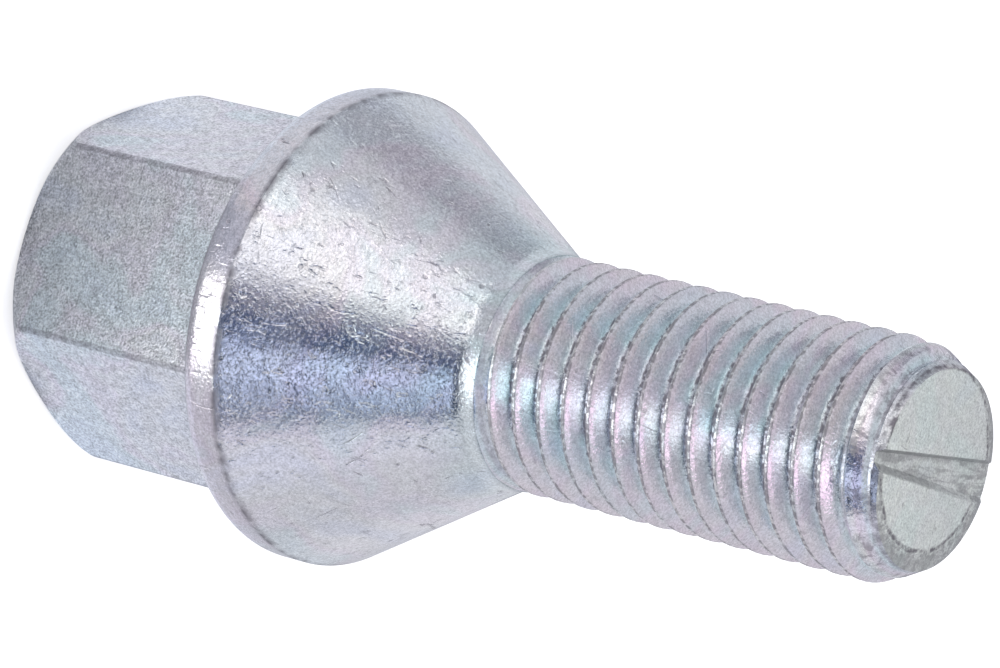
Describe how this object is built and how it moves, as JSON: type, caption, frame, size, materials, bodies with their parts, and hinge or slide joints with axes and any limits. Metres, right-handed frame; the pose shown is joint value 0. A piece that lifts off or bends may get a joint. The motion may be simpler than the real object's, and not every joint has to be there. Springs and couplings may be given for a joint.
{
  "type": "wheel bolt",
  "caption": "Wheel bolt with a hexagon head, a round collar, a conical seat and a right-hand threaded shank with a chamfered tip.",
  "frame": {"origin": "centre of the flat end of the head, the face that the bolt stands on", "axes": "+Z along the bolt from the head end to the tip of the thread; -Y out of the middle of one flat of the hexagon"},
  "size_m": [0.0242, 0.0242, 0.051],
  "materials": {
    "zinc_plated_steel": "bright zinc plating on steel, clear blue passivated, with a fine grain and faint film colours"
  },
  "bodies": {
    "root": {"wheel_bolt": "zinc_plated_steel"}
  },
  "joints": []
}
